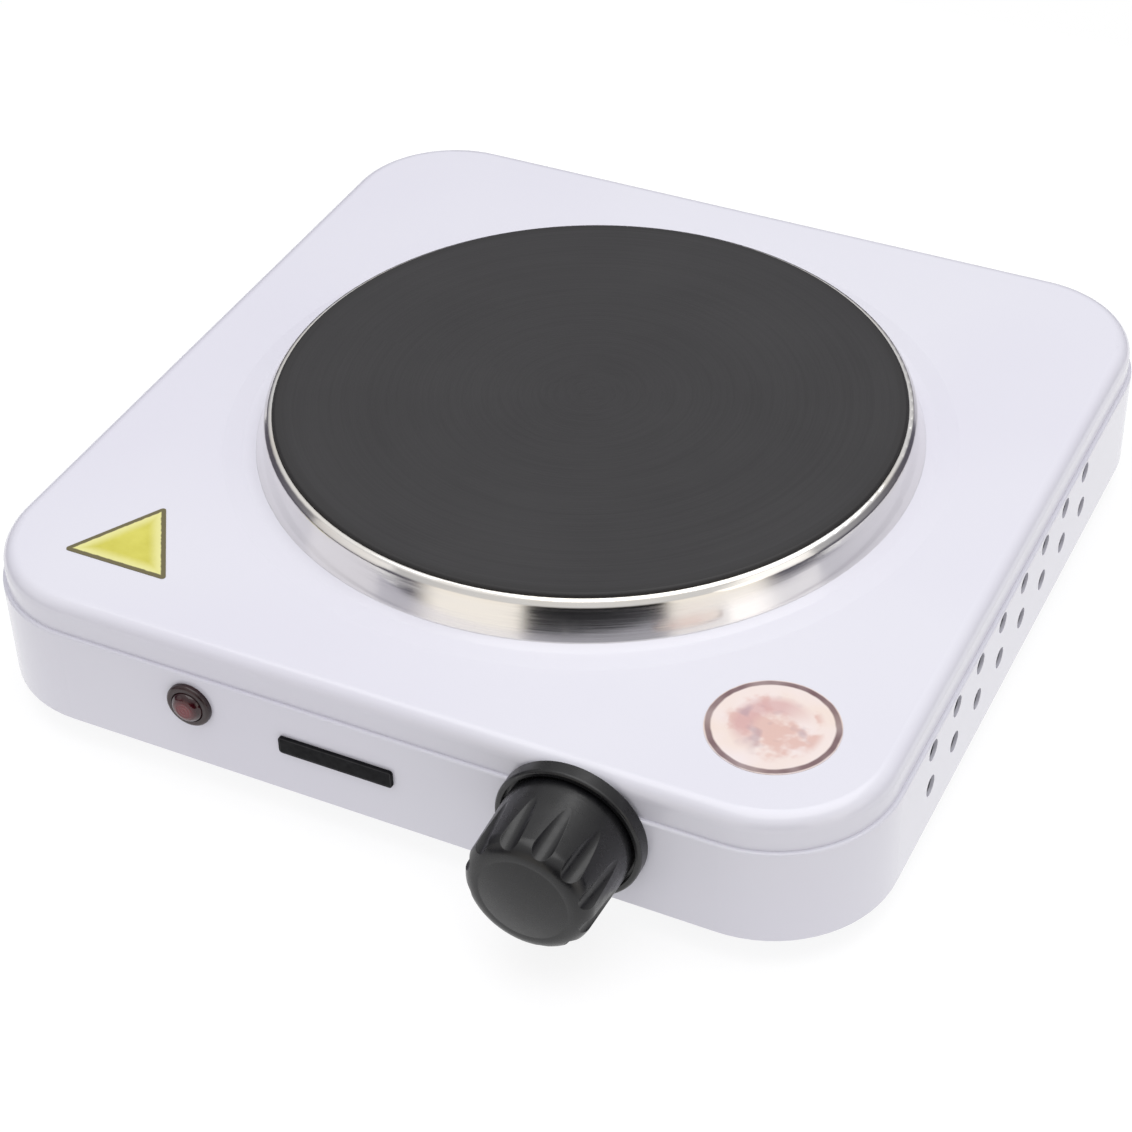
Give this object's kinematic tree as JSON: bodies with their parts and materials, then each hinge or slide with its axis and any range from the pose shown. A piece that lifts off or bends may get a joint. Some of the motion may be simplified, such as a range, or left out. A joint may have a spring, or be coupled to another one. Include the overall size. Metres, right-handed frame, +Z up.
{
  "type": "hot plate burner",
  "caption": "Square enamelled single hot plate with a round cast-iron plate in a polished ring, a fluted front knob, pilot lamp, side vents and rubber feet.",
  "frame": {"origin": "on the vertical axis of the cast-iron plate, at the level of the foot soles", "axes": "+Z up, -Y out of the front face with the knob, +X to the right seen from the front"},
  "size_m": [0.225, 0.26, 0.0533],
  "materials": {
    "white_enamel": "gloss",
    "zinc_sheet": "satin",
    "foot_rubber": "matt",
    "plate_iron": "matt",
    "ring_stainless": "polished",
    "fastener_steel": "satin",
    "coil_sheath": "matt",
    "magnesia": "matt",
    "white_ceramic": "satin",
    "spring_brass": "satin",
    "contact_silver": "satin",
    "bimetal_strip": "satin",
    "knob_plastic": "satin",
    "lamp_plastic": "gloss",
    "lens_red": "gloss",
    "bulb_glass": "clear",
    "badge_black": "gloss",
    "label_yellow": "gloss",
    "label_cream": "gloss",
    "gland_plastic": "matt",
    "lead_brown": "matt",
    "lead_black": "matt",
    "lead_blue": "matt",
    "lead_green": "matt",
    "lead_white": "matt"
  },
  "bodies": {
    "base": {"housing": "white_enamel", "base_plate": "zinc_sheet", "corner_brackets": "zinc_sheet", "foot_front_left": "foot_rubber", "foot_front_right": "foot_rubber", "foot_rear_left": "foot_rubber", "foot_rear_right": "foot_rubber", "foot_screws": "fastener_steel", "foot_nuts": "fastener_steel", "hotplate": "plate_iron", "trim_ring": "ring_stainless", "heating_coil": "coil_sheath", "insulation_fill": "magnesia", "element_cover": "zinc_sheet", "terminal_insulator": "white_ceramic", "terminal_pins": "fastener_steel", "terminal_nuts": "fastener_steel", "element_tags": "spring_brass", "centre_stud": "fastener_steel", "stud_nuts": "fastener_steel", "stud_washer": "fastener_steel", "mounting_bridge": "zinc_sheet", "heat_shield": "zinc_sheet", "knob_bezel": "knob_plastic", "shaft_bush": "spring_brass", "bush_nut": "fastener_steel", "control_bracket": "zinc_sheet", "blade_root": "spring_brass", "fixed_blade": "spring_brass", "fixed_contact": "contact_silver", "bimetal_blade": "bimetal_strip", "bimetal_pin": "white_ceramic", "stack_spacers": "white_ceramic", "stack_rivet": "fastener_steel", "lamp_holder": "lamp_plastic", "lamp_lens": "lens_red", "lamp_clip": "zinc_sheet", "neon_bulb": "bulb_glass", "name_badge": "badge_black", "triangle_label": "label_yellow", "round_label": "label_cream", "cord_gland": "gland_plastic", "gland_nut": "gland_plastic", "mains_block": "white_ceramic", "block_screws": "fastener_steel", "base_screws": "fastener_steel", "earth_tag": "spring_brass", "lead_live": "lead_brown", "lead_switched": "lead_black", "lead_neutral": "lead_blue", "lead_earth": "lead_green", "lamp_leads": "lead_white"},
    "control_knob": {"knob": "knob_plastic", "knob_spring": "fastener_steel", "control_shaft": "fastener_steel", "shaft_clip": "fastener_steel"},
    "adjuster": {"adjuster_sleeve": "spring_brass", "adjuster_tip": "white_ceramic"},
    "contact_arm": {"switch_blade": "spring_brass", "moving_contact": "contact_silver"}
  },
  "joints": [
    {"name": "knob_turn", "type": "hinge", "parent": "base", "child": "control_knob", "pos_m": [0.049, -0.1125, 0.0266], "axis": [0, 1, 0], "range_deg": [0, 270]},
    {"name": "sleeve_slide", "type": "slide", "parent": "base", "child": "adjuster", "axis": [0, 1, 0], "range_m": [0, 0.0012]},
    {"name": "blade_flex", "type": "hinge", "parent": "base", "child": "contact_arm", "pos_m": [0.031, -0.0798, 0.0266], "axis": [0, 0, 1], "range_deg": [0, 4.2]}
  ],
  "couplings": [
    {"joint": "sleeve_slide", "follows": "knob_turn", "m_per_rad": 0.00023873},
    {"joint": "blade_flex", "follows": "knob_turn", "ratio": 0.013263}
  ]
}
